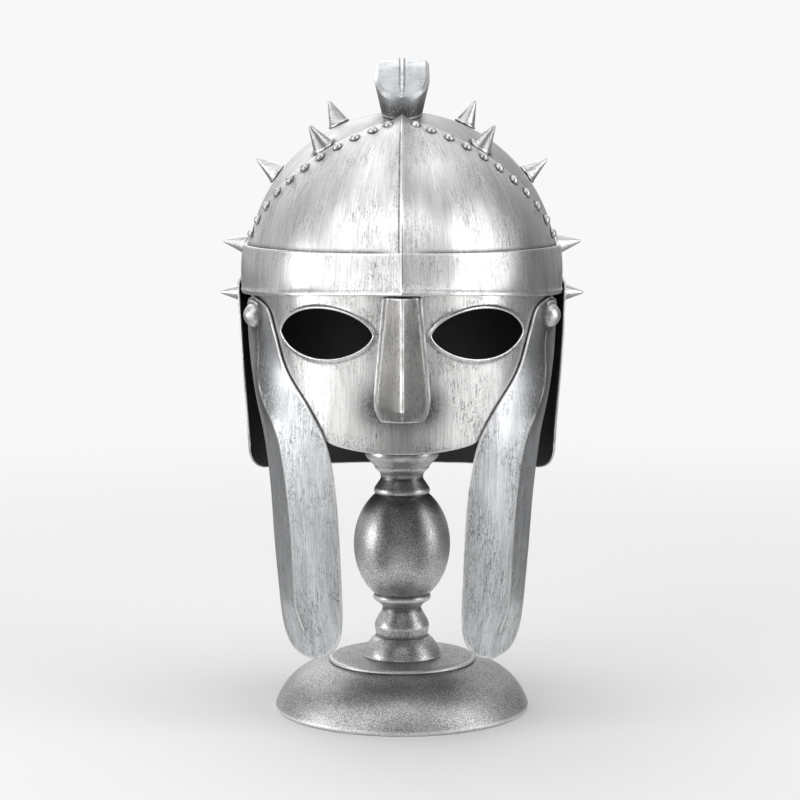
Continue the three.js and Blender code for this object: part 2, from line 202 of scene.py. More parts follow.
def unrolled(points):
    """Where a point lies on the unrolled wall: round the oval in X and Y, along the wall in Z. A
    brushed finish is drawn in these, so its strokes run down the plates."""
    x, y, z = points.T
    turn = np.arctan2(x / HALF_WIDTH, -y / HALF_LENGTH)
    up = np.arcsin(np.clip((z - EQUATOR) / RISE, 0, 1)) * RISE
    along = np.where(z > EQUATOR, up, z - EQUATOR)
    return np.stack([HALF_WIDTH * np.sin(turn), -HALF_LENGTH * np.cos(turn), along], axis=-1)


# %% [markdown]
# ## A sheet of steel with a rounded edge
#
# A real sheet's edge has been rounded with a file. Solidify would give square edges, and a Bevel
# would have to guess where the rim is. Here one function takes grids of points for both faces,
# gives points that coincide one number, finds the free edges (those with a face on one side only)
# and bends a half-round rim over them. It closes a bowl, a mask with two holes and a band alike.


# %% Numbering points and cells
WELD = 0.002  # points nearer than this are one point
WELD_OFFSET = 0.123  # keeps round values away from the rounding's halfway marks


def unit(vectors):
    """The same directions with length 1."""
    return vectors / np.maximum(np.linalg.norm(vectors, axis=-1, keepdims=True), 1e-12)


def numbered(points):
    """The first of each group of coincident points, and the group's number for every point."""
    keys = np.round(points / WELD + WELD_OFFSET).astype(np.int64)
    _, first, number = np.unique(keys, axis=0, return_index=True, return_inverse=True)
    return first, number.ravel()


def cells(index):
    """The cells of a grid of point numbers: quads, and triangles where a side has closed up."""
    quads = np.stack([index[:-1, :-1], index[1:, :-1], index[1:, 1:], index[:-1, 1:]], axis=-1)
    quads = quads.reshape(-1, 4)
    doubled = quads == np.roll(quads, -1, axis=1)
    whole = quads[doubled.sum(axis=1) == 0]
    closed_up = doubled.sum(axis=1) == 1
    return whole, quads[closed_up][~doubled[closed_up]].reshape(-1, 3)


def faces_of(grids, number):
    """All cells of several grids whose points are numbered one grid after another."""
    starts = np.cumsum([0] + [g.shape[0] * g.shape[1] for g in grids])
    parts = [cells(number[s:e].reshape(g.shape[:2])) for g, s, e in zip(grids, starts, starts[1:])]
    return np.concatenate([q for q, _ in parts]), np.concatenate([t for _, t in parts])


def distance_to(points, others, block=4000):
    """Each point's distance to the nearest of the others: |a|^2 + |b|^2 - 2 a.b, in blocks."""
    nearest = []
    for start in range(0, len(points), block):
        some = points[start : start + block]
        squared = (some**2).sum(1)[:, None] + (others**2).sum(1) - 2 * some @ others.T
        nearest.append(np.sqrt(np.maximum(squared.min(axis=1), 0)))
    return np.concatenate(nearest)


# %% From arrays to a piece of the object
FOLD_DEG = 38  # edges that turn more than this are shaded as folds


def make_piece(name, points, quads, triangles, back_quads, back_triangles, marks):
    """A mesh of quads and triangles in mm, with its marks stored on the points. The faces of the
    back take the second material."""
    mesh = bpy.data.meshes.new(name)
    faces = [part.tolist() for part in (quads, triangles, back_quads, back_triangles)]
    mesh.from_pydata((points * MM).tolist(), [], sum(faces, []))
    front = len(quads) + len(triangles)
    back = (np.arange(len(mesh.polygons)) >= front).astype(np.int32)
    mesh.polygons.foreach_set("material_index", back)
    for key, values in marks.items():
        kind, field = ("FLOAT_VECTOR", "vector") if values.ndim == 2 else ("FLOAT", "value")
        layer = mesh.attributes.new(key, kind, "POINT")
        layer.data.foreach_set(field, values.astype(np.float32).ravel())
    mesh.shade_smooth()
    mesh.set_sharp_from_angle(angle=np.radians(FOLD_DEG))
    piece = bpy.data.objects.new(name, mesh)
    scene.collection.objects.link(piece)
    return piece


# %% The sheet
RIM_STEPS = 6  # facets of the half-round edge


def rim_of(outer, inner, quads, triangles):
    """Points and quads of a half-round edge over the free edges: the sheet's middle, plus cosine
    times the way through the sheet, plus sine times the way out of the plate."""
    edges = np.concatenate([np.stack([faces, np.roll(faces, -1, axis=1)], axis=-1).reshape(-1, 2)
                            for faces in (quads, triangles)])
    count = len(outer)
    has_twin = np.isin(edges @ [count, 1], edges @ [1, count])
    free = edges[~has_twin]
    through = unit(outer - inner)
    start, end = free.T
    leaving = np.cross(outer[end] - outer[start], through[start])
    out = np.zeros_like(outer)
    np.add.at(out, start, leaving)
    np.add.at(out, end, leaving)
    ring = np.unique(free)
    out = out[ring] - through[ring] * (out[ring] * through[ring]).sum(1, keepdims=True)
    out = unit(out)
    middle = (outer[ring] + inner[ring]) / 2
    half = np.linalg.norm(outer[ring] - inner[ring], axis=1, keepdims=True) / 2
    angle = np.linspace(0, np.pi, RIM_STEPS + 1)[1:-1, None, None]
    points = middle + half * (np.cos(angle) * through[ring] + np.sin(angle) * out)
    rows = 2 * count + np.arange(points.shape[0] * len(ring)).reshape(-1, len(ring))
    rows = np.concatenate([ring[None], rows, ring[None] + count])
    s, e = np.searchsorted(ring, start), np.searchsorted(ring, end)
    rim_quads = np.stack([rows[:-1, e], rows[:-1, s], rows[1:, s], rows[1:, e]], axis=-1)
    return points.reshape(-1, 3), rim_quads.reshape(-1, 4), middle


def sheet(name, grids, folds=None, dirt_and_shade=None, flow=unrolled):
    """A plate from pairs of grids (outer face, inner face). Its marks are flow, the place on the
    unrolled wall; edge, the distance in mm to the nearest edge or fold; and dirt_and_shade, from 0
    to
    1, which holds real soiling and painted shade."""
    outer = np.concatenate([o.reshape(-1, 3) for o, _ in grids])
    inner = np.concatenate([i.reshape(-1, 3) for _, i in grids])
    first, number = numbered(outer)
    outer, inner = outer[first], inner[first]
    quads, triangles = faces_of([o for o, _ in grids], number)
    a, b, c, d = (outer[quads[:, k]] for k in range(4))
    if (np.cross(c - a, d - b) * (outer - inner)[quads[:, 0]]).sum() < 0:
        quads, triangles = quads[:, ::-1], triangles[:, ::-1]
    rim, rim_quads, rim_line = rim_of(outer, inner, quads, triangles)
    points = np.concatenate([outer, inner, rim])
    # Edges and folds both count as edges: they get the rubbed bare metal and its painted highlight.
    worn_and_highlit = rim_line if folds is None else np.concatenate([rim_line, folds.reshape(-1, 3)])
    marks = {
        "flow": flow(points) * MM,
        "edge": np.maximum(distance_to(points, worn_and_highlit) - SHEET / 2, 0),
        "dirt_and_shade": np.zeros(len(points)) if dirt_and_shade is None else dirt_and_shade(points),
    }
    count = len(outer)
    print(f"{name}: {len(points)} points")
    return make_piece(
        name, points, np.concatenate([quads, rim_quads]), triangles,
        quads[:, ::-1] + count, triangles[:, ::-1] + count, marks,
    )


def plate_grid(place, u, v):
    """The outer and inner face of a plate: place(u, v, depth) over all pairs of u and v."""
    uu, vv = np.meshgrid(u, v, indexing="ij")
    return place(uu, vv, 0.0), place(uu, vv, SHEET)


def line_on(face, start, end, count):
    """A line on a plate's outer face: even steps between two pairs of its parameters."""
    return face(*np.linspace(start, end, count).T, 0.0)


def spread(count, near=0.0):
    """Parameters from 0 to 1 that crowd together at both ends; near is how much they crowd."""
    t = np.linspace(0, 1, count)
    return (1 - near) * t + near * (1 - np.cos(np.pi * t)) / 2


# %% [markdown]
# ## Turned pieces
#
# The stand, rivets, bosses and studs are round. A Screw modifier would spin an outline, but it
# can't tell ridges from grooves. Here the outline is rounded at its corners, walked at even steps
# and spun, and each point is compared with the mean of its neighbours: one that stands proud is a
# ridge, rubbed bright and given a painted highlight, and one that lies low is a groove, painted
# dark as polish left in it and as painted shade.


# %% Outlines
def arc(centre, radii, from_deg, to_deg, steps):
    """Points of an ellipse's stretch: centre plus the radii times cosine and sine."""
    angle = np.radians(np.linspace(from_deg, to_deg, steps + 1))
    return centre + np.stack([radii[0] * np.cos(angle), radii[1] * np.sin(angle)], axis=-1)


def rounded(outline, radius, steps=4):
    """The outline with each inner corner replaced by a short quadratic curve. A corner is cut back
    by the radius, or by under half of its shorter side."""
    before, corner, after = outline[:-2], outline[1:-1], outline[2:]
    to_before, to_after = before - corner, after - corner
    lengths = np.stack([np.linalg.norm(to_before, axis=1), np.linalg.norm(to_after, axis=1)])
    cut = np.minimum(radius, 0.45 * lengths.min(axis=0))[:, None]
    start, end = corner + unit(to_before) * cut, corner + unit(to_after) * cut
    t = np.linspace(0, 1, steps + 1)[None, :, None]
    curve = (1 - t) ** 2 * start[:, None] + 2 * t * (1 - t) * corner[:, None] + t**2 * end[:, None]
    return np.concatenate([outline[:1], curve.reshape(-1, 2), outline[-1:]])


def walked(outline, step):
    """The outline walked at even steps: its points looked up by the length travelled."""
    travelled = np.r_[0, np.cumsum(np.linalg.norm(np.diff(outline, axis=0), axis=1))]
    stops = np.linspace(0, travelled[-1], int(np.ceil(travelled[-1] / step)) + 1)
    return np.stack([np.interp(stops, travelled, outline[:, k]) for k in (0, 1)], axis=-1)


def standing_proud(outline, reach):
    """How far each point stands out of the mean of its neighbours, in mm: plus on a ridge, minus in
    a groove. reach is how many points each way count as neighbours."""
    padded = np.pad(outline, ((reach, reach), (0, 0)), mode="reflect", reflect_type="odd")
    box = np.ones(2 * reach + 1) / (2 * reach + 1)
    mean = np.stack([np.convolve(padded[:, k], box, mode="valid") for k in (0, 1)], axis=-1)
    along = unit(np.gradient(outline, axis=0))
    outwards = np.stack([along[:, 1], -along[:, 0]], axis=-1)
    return ((outline - mean) * outwards).sum(axis=1)


# %% Spinning an outline
RIDGE_EDGE_MM = 3.0  # the edge mark where there is no ridge at all


def turned(name, outline, step, reach_mm, strong_mm, facets, base=None, axis=(0, 0, 1), shade=None):
    """A turned piece: the outline, rows of (radius, z) from foot to top, spun round its axis and
    stood on base. A ridge that stands strong_mm proud is rubbed fully bright, with a painted
    highlight, and shade adds painted shade from the height z."""
    outline = walked(outline, step)
    proud = standing_proud(outline, max(1, int(round(reach_mm / step)))) / strong_mm
    turn = np.linspace(0, 2 * np.pi, facets + 1)[:, None]
    radius, z = np.maximum(outline[:, 0], 0), outline[:, 1]
    grid = np.stack([radius * np.cos(turn), radius * np.sin(turn), z + 0 * turn], axis=-1)
    edge = np.broadcast_to(RIDGE_EDGE_MM * (1 - np.clip(proud, 0, 1)), grid.shape[:2])
    low = np.clip(-proud, 0, 1)
    dirt_and_shade = np.broadcast_to(low if shade is None else np.maximum(low, shade(z)), grid.shape[:2])
    first, number = numbered(grid.reshape(-1, 3))
    points = grid.reshape(-1, 3)[first]
    quads, triangles = faces_of([grid], number)
    if base is not None:
        axis = np.array(axis)
        side = unit(np.cross(axis, (0, 1, 0) if abs(axis[1]) < 0.9 else (1, 0, 0)))
        points = base + points @ np.stack([side, np.cross(axis, side), axis])
    marks = {
        "flow": (points if base is None else unrolled(points)) * MM,
        "edge": edge.ravel()[first],
        "dirt_and_shade": dirt_and_shade.ravel()[first],
    }
    none = np.empty((0, 3), int)
    return make_piece(name, points, quads, triangles, none, none, marks)


# %% Where the small turned pieces stand
HEAD_MIDDLE = np.array([0, 0, EQUATOR])


def seat(node):
    """Where a small round part stands: the middle of its base and the way it points. The mean of
    its points and its tip are both on its axis."""
    mesh = frame["nodes"][node].data
    flat = np.empty(3 * len(mesh.vertices), np.float32)
    mesh.vertices.foreach_get("co", flat)
    points = flat.reshape(-1, 3).astype(float) / MM
    mean = points.mean(axis=0)
    tip = points[np.argmax(points @ (mean - HEAD_MIDDLE))]
    axis = unit(tip - mean)
    return mean + axis * ((points - mean) @ axis).min(), axis


rivet_seats, stud_seats, boss_seats = (
    {node: seat(node) for node in frame["nodes"] if node.startswith(kind)}
    for kind in ("rivet_", "stud_", "temple_boss_")
)
print(len(rivet_seats), "rivets,", len(stud_seats), "studs and", len(boss_seats), "bosses")


# %% Where it is darkened: soiling and painted shade
RIVET_HEAD, STUD_FLANGE, BOSS_WASHER = 2.9, 7.6, 9.5  # radii that the darkening starts from
DIRT_AND_SHADE_POWER = 1.5  # how squarely the darkening stops: 1 trails off, and more is squarer


def dirt_and_shade_along(*lines, reach, share=1.0, radius=0.0):
    """Darkening along lines of points, for real soiling and for painted shade: share within the
    radius of them, and next to nothing beyond reach mm from there."""
    places = np.concatenate([line.reshape(-1, 3) for line in lines])

    def dirt_and_shade(points):
        gap = np.maximum(distance_to(points, places) - radius, 0)
        return share * np.exp(-((gap / reach) ** DIRT_AND_SHADE_POWER))
    return dirt_and_shade


def dirt_and_shade_round(seats, radius, reach):
    """Darkening round the heads of fasteners, which have that radius: soiling, and on the cheeks
    painted shade.
    """
    return dirt_and_shade_along(np.array([base for base, _ in seats.values()]), reach=reach, radius=radius)


def strongest_dirt_and_shade(*kinds):
    """Several kinds of darkening at once: the strongest counts."""
    return lambda points: np.max([kind(points) for kind in kinds], axis=0)


# %% [markdown]
# ## Finishes
#
# The helmet's steel was silvered, brushed from top to bottom, washed with a dark patina and rubbed
# back. Each finish is layered in the same order: a brushed base, dark strokes and specks that the
# rubbing left, soiling and painted shade in the corners and gaps, and bright metal on every edge,
# which is partly a painted highlight. The strokes are noise stretched along the unrolled wall. An
# image would repeat and blur, and noise doesn't.


# %% A short way to write node trees
class Finish:
    """A material whose nodes are added one call at a time, each giving an output socket."""

    def __init__(self, name, owner=None):
        self.material = owner or bpy.data.materials.new(name)
        self.material.use_nodes = True
        self.tree = self.material.node_tree
        self.surface = self.tree.nodes["Background" if owner else "Principled BSDF"]

    def node(self, kind, inputs=(), **settings):
        """Adds a node, sets its fields, and links or fills its inputs in order or by name."""
        made = self.tree.nodes.new(kind)
        for key, value in settings.items():
            setattr(made, key, value)
        pairs = inputs.items() if isinstance(inputs, dict) else enumerate(inputs)
        for key, value in pairs:
            self.feed(made.inputs[key], value)
        return made

    def feed(self, socket, value):
        """Links an output to a socket, or sets the socket to a plain value."""
        if isinstance(value, bpy.types.NodeSocket):
            self.tree.links.new(value, socket)
        else:
            socket.default_value = value

    def shader(self, inputs):
        """Fills the shader's own sockets by name, and gives the finished material."""
        for key, value in inputs.items():
            self.feed(self.surface.inputs[key], value)
        return self.material

    def mark(self, name, output="Fac"):
        """One of the marks stored on the mesh."""
        return self.node("ShaderNodeAttribute", attribute_name=name).outputs[output]

    def here(self, kind="Object"):
        """The point's own place in metres, or for the room the direction looked in."""
        return self.node("ShaderNodeTexCoord").outputs[kind]

    def axes(self, vector):
        """The X, Y and Z of a vector."""
        return self.node("ShaderNodeSeparateXYZ", (vector,)).outputs

    def seen_directly(self):
        """1 for what the camera itself sees, and 0 for what is mirrored."""
        return self.node("ShaderNodeLightPath").outputs["Is Camera Ray"]

    def noise(self, vector, grain_mm, detail=3.0, rough=0.55):
        """Noise whose grains measure grain_mm along X, Y and Z."""
        scale = tuple(1 / (g * MM) for g in grain_mm)
        stretched = self.node("ShaderNodeMapping", {"Vector": vector, "Scale": scale}).outputs[0]
        settings = {"Vector": stretched, "Scale": 1.0, "Detail": detail, "Roughness": rough}
        return self.node("ShaderNodeTexNoise", settings).outputs[0]

    def ramp(self, value, low, high, out_low=0.0, out_high=1.0):
        """A smooth step: out_low where value is under low, out_high where it is over high."""
        made = self.node("ShaderNodeMapRange", interpolation_type="SMOOTHSTEP", clamp=True)
        for socket, number in zip(made.inputs, (value, low, high, out_low, out_high)):
            self.feed(socket, number)
        return made.outputs[0]

    def math(self, operation, a, b=0.0):
        """One sum: MAXIMUM, SUBTRACT and so on."""
        return self.node("ShaderNodeMath", (a, b), operation=operation).outputs[0]

    def times(self, a, b):
        """a times b."""
        return self.math("MULTIPLY", a, b)

    def plus(self, a, b):
        """a plus b."""
        return self.math("ADD", a, b)

    def blend(self, share, a, b):
        """Colour a, turning into colour b as share goes from 0 to 1."""
        made = self.node("ShaderNodeMix", data_type="RGBA")
        for key, value in (("Factor", share), ("A", a), ("B", b)):
            matching = [s for s in made.inputs if s.name == key and s.enabled]
            self.feed(matching[-1], value)
        return next(s for s in made.outputs if s.enabled)

    def bumps(self, height, strength, depth_mm):
        """A surface that rises and falls with height by depth_mm."""
        settings = {"Strength": strength, "Distance": depth_mm * MM, "Height": height}
        return self.node("ShaderNodeBump", settings).outputs[0]


def grey(level, warmth=0.0):
    """A grey with a touch of warmth (plus) or blue (minus)."""
    return (level * (1 + warmth), level, level * (1 - warmth), 1.0)


# %% The studio's walls and floor
PALE = 0.94  # how pale the background looks
FRONT, BEHIND, ABOVE = 0.12, 0.66, 0.46  # how light the room is on each side of the helmet
RIGHT_SHARE = 0.25  # how much of that light is left on the darker right-hand side
FLOOR_GREY, CLOTH_GREY = 0.86, 0.22


def studio_room():
    """A room that is dim in front of the helmet, lighter behind it, lightest above and darker on
    the right. The camera itself sees one even pale tone."""
    f = Finish("studio", bpy.data.worlds.new("studio"))
    x, y, z = f.axes(f.here("Generated"))
    level = f.times(f.ramp(y, -0.6, 0.8, FRONT, BEHIND), f.ramp(x, 0.2, 0.9, 1, RIGHT_SHARE))
    level = f.plus(level, f.ramp(z, 0.15, 0.9, 0, ABOVE - FRONT))
    strength = f.math("MAXIMUM", f.times(f.seen_directly(), PALE), level)
    scene.world = f.shader({"Color": grey(1.0), "Strength": strength})


def pale_floor():
    """A pale floor that fades to the room's tone, so no horizon shows. What the steel mirrors of it
    is pale only close by and under the two soft boxes, as if dark cloths lay in front and behind,
    which gives polished metal its contrast."""
    f = Finish("pale_floor")
    place, seen = f.here(), f.seen_directly()
    distance = f.node("ShaderNodeVectorMath", (place,), operation="LENGTH").outputs["Value"]
    x, y, _ = f.axes(place)
    far = f.ramp(distance, 0.35, 1.6)
    looked_at = f.blend(far, grey(FLOOR_GREY), grey(0.0))
    beside = f.ramp(f.math("ABSOLUTE", x), 0.16, 0.55)
    under_boxes = f.times(beside, f.ramp(y, -0.3, 0.05, 1, 0))
    cloths = f.times(f.ramp(distance, 0.14, 0.5), f.math("SUBTRACT", 1.0, under_boxes))
    mirrored = f.blend(cloths, grey(FLOOR_GREY), grey(CLOTH_GREY))
    floor.data.materials.append(f.shader({
        "Base Color": f.blend(seen, mirrored, looked_at),
        "Emission Color": grey(1.0),
        "Emission Strength": f.times(f.times(far, seen), PALE),
        "Roughness": 0.7,
        "Specular IOR Level": 0.0,
    }))


studio_room()
pale_floor()

# %% Antiqued silver
BARE_METAL_AND_HIGHLIGHT = grey(0.9)  # bare metal on edges and ridges, and a painted highlight there


def antiqued(name, bright, dull, patina, wear, rough, blotches):
    """Brushed and antiqued steel, in three greys. wear is how much dark the rubbing left, from 0.5
    to 1.5, and blotches how much of it lies in patches."""
    f = Finish(name)
    flow, here = f.mark("flow", "Vector"), f.here()
    edge, dirt_and_shade = f.mark("edge"), f.mark("dirt_and_shade")
    brush = f.noise(flow, (0.5, 0.5, 22), detail=2)
    strokes = f.noise(flow, (1.1, 1.1, 7), detail=5, rough=0.7)
    specks = f.noise(flow, (1.3, 1.3, 2.1), detail=5, rough=0.78)
    streaks = f.noise(flow, (11, 11, 50), detail=3)
    patches = f.noise(here, (26, 26, 40), detail=4, rough=0.6)
    corners = f.noise(here, (13, 13, 17), detail=3)
    covered = f.times(f.ramp(patches, 0.43, 0.64), blotches)
    dark_strokes = f.times(f.ramp(strokes, 0.48, 0.7), f.plus(covered, 0.3))
    dark_specks = f.times(f.ramp(specks, 0.52, 0.68), f.plus(covered, 0.12))
    near_edge = f.times(f.ramp(edge, 1.0, 15, 1, 0), f.ramp(specks, 0.42, 0.64))
    near_edge = f.times(near_edge, f.ramp(corners, 0.4, 0.62, 0.15, 1))
    # The darkening mark is real soiling round fasteners, and painted shade in gaps, beside folds
    # and in hollows.
    held_dirt_and_shade = f.times(f.ramp(dirt_and_shade, 0.08, 0.9), f.ramp(specks, 0.3, 0.55, 0.5, 1))
    dark = held_dirt_and_shade
    for kind, share in ((dark_strokes, 0.6), (dark_specks, 0.8), (near_edge, 0.65)):
        dark = f.math("MAXIMUM", dark, f.times(kind, share * wear))
    dark = f.math("MINIMUM", dark, 1.0)
    # Edges and folds turn pale: partly real rubbing, partly a painted highlight.
    rubbed_and_highlit_edge = f.times(f.ramp(edge, 0.0, 1.0, 1, 0), f.ramp(corners, 0.38, 0.6, 0.15, 0.8))
    polish = f.plus(f.times(brush, 0.6), f.times(streaks, 0.4))
    colour = f.blend(f.ramp(polish, 0.38, 0.64), grey(*bright), grey(*dull))
    colour = f.blend(rubbed_and_highlit_edge, f.blend(dark, colour, grey(*patina)), BARE_METAL_AND_HIGHLIGHT)
    gloss = f.plus(f.times(dark, 0.2), f.ramp(patches, 0.3, 0.7, rough, rough + 0.08))
    return f.shader({
        "Base Color": colour,
        "Metallic": 1.0,
        "Roughness": f.math("SUBTRACT", gloss, f.times(rubbed_and_highlit_edge, 0.1)),
        "Normal": f.bumps(f.plus(brush, strokes), 0.4, 0.04),
    })


# %% The six steels
STEELS = {  # tone and warmth when bright, dull and dark, then wear, roughness and blotches
    "antique_silver": ((0.84, -0.004), (0.6, -0.006), (0.12, 0), 0.95, 0.31, 1),
    "mask_silver": ((0.88, 0.012), (0.63, 0.014), (0.12, 0.02), 1.25, 0.26, 1),
    "cheek_silver": ((0.80, -0.022), (0.52, -0.03), (0.10, -0.02), 1.4, 0.33, 1),
    "comb_silver": ((0.70, -0.028), (0.52, -0.034), (0.12, 0), 1.0, 0.36, 1),
    "skull_steel": ((0.57, 0.01), (0.46, 0.012), (0.15, 0.02), 0.6, 0.4, 0.6),
    "nose_steel": ((0.44, 0.02), (0.33, 0.024), (0.10, 0.02), 1.1, 0.36, 1),
}
silver, mask_silver, cheek_silver, comb_silver, skull_steel, nose_steel = (
    antiqued(name, *settings) for name, settings in STEELS.items()
)


# %% Black paint inside
def painted_black():
    """Satin black paint with the faint orange-peel of a sprayed coat."""
    f = Finish("black_paint")
    peel = f.noise(f.here(), (1.6, 1.6, 1.6), detail=2)
    return f.shader({
        "Base Color": f.blend(f.ramp(peel, 0.3, 0.8), grey(0.006), grey(0.012)),
        "Roughness": f.ramp(peel, 0.2, 0.8, 0.42, 0.55),
        "Normal": f.bumps(peel, 0.2, 0.05),
    })


black_paint = painted_black()


# %% Speckled pewter for the stand
def speckled_pewter(name, pale, rough):
    """Dark cast metal with a fine sparkle, rubbed bright on ridges with a painted highlight, and
    painted nearly black in grooves and where painted shade is given.
    """
    f = Finish(name)
    here, edge, dirt_and_shade = f.here(), f.mark("edge"), f.mark("dirt_and_shade")
    grain = f.noise(here, (0.7, 0.7, 0.7), detail=2, rough=0.8)
    clouds = f.noise(here, (24, 24, 28), detail=3)
    level = f.plus(f.times(grain, 0.8), f.times(clouds, 0.14))
    colour = f.blend(f.ramp(level, 0.37, 0.57), grey(0.3 * pale, 0.01), grey(pale))
    # Grooves, and the painted shade on the egg and the disc, turn nearly black.
    colour = f.blend(f.times(f.ramp(dirt_and_shade, 0.15, 0.9), 0.7), colour, grey(0.10))
    # Ridges turn to rubbed bare metal with a painted highlight.
    ridges = f.times(f.ramp(edge, 0.4, 2.6, 1, 0), f.ramp(grain, 0.3, 0.55, 0.35, 1))
    return f.shader({
        "Base Color": f.blend(f.times(ridges, 0.8), colour, BARE_METAL_AND_HIGHLIGHT),
        "Metallic": 1.0,
        "Roughness": f.ramp(grain, 0.35, 0.65, rough, rough - 0.1),
        "Normal": f.bumps(grain, 0.3, 0.1),
    })


pewter = speckled_pewter("speckled_pewter", 0.88, 0.46)
foot_pewter = speckled_pewter("foot_pewter", 0.68, 0.54)


# %% Dressing a piece
dressed = []


def dress(piece, slot, nodes, *materials):
    """Gives a piece its materials, hangs it on the body and hides the parts of the frame it stands
    for.
    """
    for material in materials:
        piece.data.materials.append(material)
    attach(piece, BODY)
    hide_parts(*nodes)
    dressed.append(piece)


# %% [markdown]
# ## The brow's arch and the lines that several plates share
#
# The brow plate ends over the forehead in a round arch, and the skull behind it is painted darker
# along that line. A fold rises down the middle of the brow plate and its band. Each is worked out
# once.

# %% Shared lines
BROW = Sizes(half_angle=81.0, top=132.0, arch_angle=84.0, arch_power=0.8)
BAND = Sizes(half_angle=83.3, top=18.0, front_bottom=-7.0, side_bottom=-14.0, flare=5.0,
             bead=0.5, bead_up=1.6, bead_width=1.1)
KEEL = Sizes(lift=5.0, half_angle=15.0, crease=-1.1)


def keel_lift(azimuth):
    """The ridge down the middle of the brow: highest in the middle, gone at the half angle."""
    return KEEL.lift * np.maximum(0, 1 - np.abs(azimuth) / KEEL.half_angle) ** 2


def arch_height(azimuth):
    """The arch: a cosine that ends at the arch angle, made rounder by a power under 1."""
    share = np.cos(np.radians(azimuth * 90 / BROW.arch_angle))
    return BROW.top * share ** BROW.arch_power


def band_bottom(azimuth):
    """The band's lower edge, which rises a little towards the middle of the face."""
    front = np.cos(np.radians(azimuth)) ** 2
    return BAND.side_bottom + (BAND.front_bottom - BAND.side_bottom) * front


def middle_heavy(half_angle, count, power=1.25):
    """Azimuths from side to side that crowd together at the middle, where the ridge is."""
    t = np.linspace(-1, 1, count)
    return half_angle * np.sign(t) * np.abs(t) ** power


arch_azimuths = np.linspace(-BROW.half_angle, BROW.half_angle, 300)
arch_line = on_head(arch_azimuths, arch_height(arch_azimuths), 1.0)
band_top_line = on_head(arch_azimuths, np.full(300, BAND.top), FIRST_LAYER)

# %% [markdown]
# ## The skull
#
# A real skull is raised from one disc of steel. It is a bowl with a pole at the crown, so its grid
# runs right round and closes up there. A sphere primitive, scaled, would have the wrong wall below
# the widest line and no thickness.


# %% Skull
def skull_face(azimuth, height, depth):
    """The bowl's wall, from its rim to the crown."""
    return on_head(azimuth, height, -depth)


skull_heights = np.linspace(-RIM_BELOW, RISE * np.pi / 2, 72)
dirt_at_studs = dirt_and_shade_round(stud_seats, STUD_FLANGE, 2.4)
skull = sheet(
    "skull_bowl", [plate_grid(skull_face, np.linspace(0, 360, 205), skull_heights)],
    # The skull is painted darker along the brow's arch, and soiled round the studs.
    dirt_and_shade=strongest_dirt_and_shade(dirt_and_shade_along(arch_line, reach=4.5), dirt_at_studs),
)
dress(skull, "aged_steel", ["skull"], skull_steel, black_paint)

# %% [markdown]
# ## The brow plate and its band
#
# The brow plate has a soft keel, left by folding the sheet before it was dished. A separate band
# wraps its lower edge and flares over the eyes. The keel is a real fold in the mesh, so light
# breaks on it as on the steel; a painted highlight runs along it too, and a painted shade line
# beside it. A painted shadow lies on the plate along the band's top edge.

# %% Brow plate
HIDDEN_EDGE = 1.5  # how far the plate stops above the band's lower edge


def brow_face(azimuth, share, depth):
    """The plate between the band's lower edge (share 0) and the arch (share 1)."""
    low = band_bottom(azimuth) + HIDDEN_EDGE
    height = low + (arch_height(azimuth) - low) * share
    return on_head(azimuth, height, FIRST_LAYER - depth + keel_lift(azimuth))


keel_line = line_on(brow_face, (0, 0), (0, 1), 220)
beside_keel = line_on(brow_face, (KEEL.crease, 0), (KEEL.crease, 1), 220)
brow_plate = sheet(
    "brow_plate_sheet",
    [plate_grid(brow_face, middle_heavy(BROW.half_angle, 181), spread(84, 0.4))],
    folds=keel_line,
    # A painted shadow along the band's top edge and a painted shade line beside the keel; soiling
    # round the rivets.
    dirt_and_shade=strongest_dirt_and_shade(dirt_and_shade_along(band_top_line, reach=3.0), dirt_and_shade_along(beside_keel, reach=0.7),
               dirt_and_shade_round(rivet_seats, RIVET_HEAD, 1.6)),
)
dress(brow_plate, "antique_silver", ["brow_plate"], silver, black_paint)


# %% Brow band
def band_face(azimuth, share, depth):
    """The band, flared at its lower edge, which ends in a narrow rolled bead."""
    low = band_bottom(azimuth)
    height = low + (BAND.top - low) * share
    flare = BAND.flare * (1 - share) ** 3 * np.cos(np.radians(azimuth)) ** 2
    off_bead = (height - low - BAND.bead_up) / BAND.bead_width
    bead = BAND.bead * np.exp(-(off_bead**2))
    return on_head(azimuth, height, SECOND_LAYER - depth + keel_lift(azimuth) + flare + bead)


brow_band = sheet(
    "brow_band_sheet",
    [plate_grid(band_face, middle_heavy(BAND.half_angle, 221), spread(34, 0.6))],
    folds=line_on(band_face, (0, 0), (0, 1), 60),
)
dress(brow_band, "antique_silver", ["brow_band"], silver, black_paint)

# %% [markdown]
# ## The face mask
#
# A Boolean would cut the eyes out with ragged fans of triangles. Each half of the mask is instead a
# ring of cells between the eye's edge and the half's outline, so the cells flow round the opening,
# and its lip is a plain function of the distance from the edge. The halves are welded together in
# the middle.

# %% Outline of half the mask
MASK = Sizes(top=311.0, bottom=200.0, tab=74.0, tab_bottom=276.0)
EYE = Sizes(azimuth=29.5, z=279.0, half_angle=19.5, half_height=17.5,
            lip=1.5, lip_width=1.7, point=1.25)  # point over 1 draws the ends in to soft points


def bend(points, steps):
    """A curve from the first point to the last, pulled by those in between (de Casteljau's way)."""
    t = np.linspace(0, 1, steps, endpoint=False)[:, None]
    level = [np.array(p, float) * np.ones_like(t) for p in points]
    while len(level) > 1:
        level = [a * (1 - t) + b * t for a, b in zip(level, level[1:])]
    return level[0]


